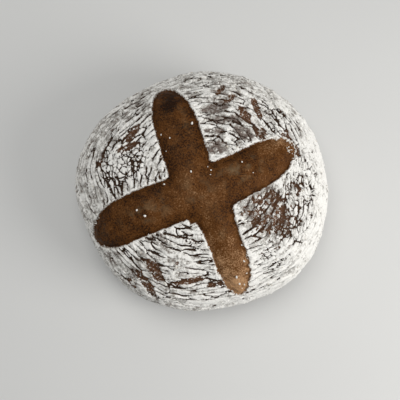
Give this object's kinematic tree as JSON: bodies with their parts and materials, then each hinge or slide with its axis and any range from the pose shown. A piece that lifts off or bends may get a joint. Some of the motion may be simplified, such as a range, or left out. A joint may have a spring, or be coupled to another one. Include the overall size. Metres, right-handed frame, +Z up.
{
  "type": "sourdough loaf",
  "caption": "Whole round sourdough loaf with a domed, floured crust, a flat base and a cross-shaped score that has burst open.",
  "frame": {"origin": "on the plane of the flat base, at the middle of the loaf's plan", "axes": "+Z up out of the base through the dome; +X along the loaf's longest side, +Y across it"},
  "size_m": [0.2, 0.192, 0.09],
  "materials": {
    "crust": "matt baked crust, browned in the score and dusted white with flour elsewhere",
    "flour": "chalky white flour caked on the crust"
  },
  "bodies": {
    "root": {"loaf": "crust"}
  },
  "joints": []
}
